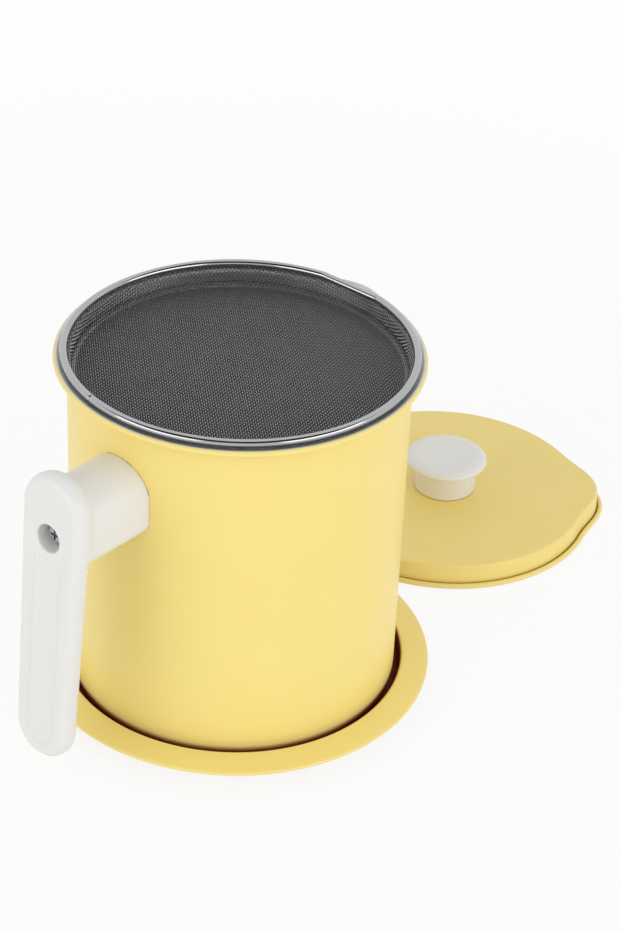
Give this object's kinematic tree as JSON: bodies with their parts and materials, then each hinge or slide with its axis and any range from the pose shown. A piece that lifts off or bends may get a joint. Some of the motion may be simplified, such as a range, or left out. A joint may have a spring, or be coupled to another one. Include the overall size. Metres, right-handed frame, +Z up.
{
  "type": "bacon grease container",
  "caption": "Coated steel grease pot with side handle, pouring spout, wire cloth strainer and saucer, its lid with a knob lying beside it.",
  "frame": {"origin": "centre of the saucer's underside, on the table, on the pot's axis", "axes": "+Z up along the pot's axis, +X from the handle towards the spout and on to the lid that lies beside the pot, +Y to the left of that"},
  "size_m": [0.3242, 0.158, 0.1492],
  "materials": {
    "coated_steel": "satin powder coat",
    "white_plastic": "satin moulded",
    "bright_steel": "polished",
    "wire_cloth": "plain woven wire"
  },
  "bodies": {
    "tray": {"drip_tray": "coated_steel"},
    "pot": {"pot_shell": "coated_steel", "handle_bracket": "bright_steel", "handle": "white_plastic", "handle_washer": "bright_steel", "handle_screw": "bright_steel"},
    "strainer": {"strainer_ring": "bright_steel", "strainer_mesh": "wire_cloth"},
    "lid": {"lid_shell": "coated_steel", "lid_knob": "white_plastic", "knob_washer": "bright_steel", "knob_screw": "bright_steel"}
  },
  "joints": [
    {"name": "pot_lift", "type": "slide", "parent": "tray", "child": "pot", "axis": [0, 0, 1], "range_m": [0, 0.06]},
    {"name": "strainer_lift", "type": "slide", "parent": "pot", "child": "strainer", "axis": [0, 0, 1], "range_m": [0, 0.08]},
    {"name": "lid_lift", "type": "slide", "parent": "tray", "child": "lid", "axis": [0, 0, 1], "range_m": [0, 0.16]}
  ]
}
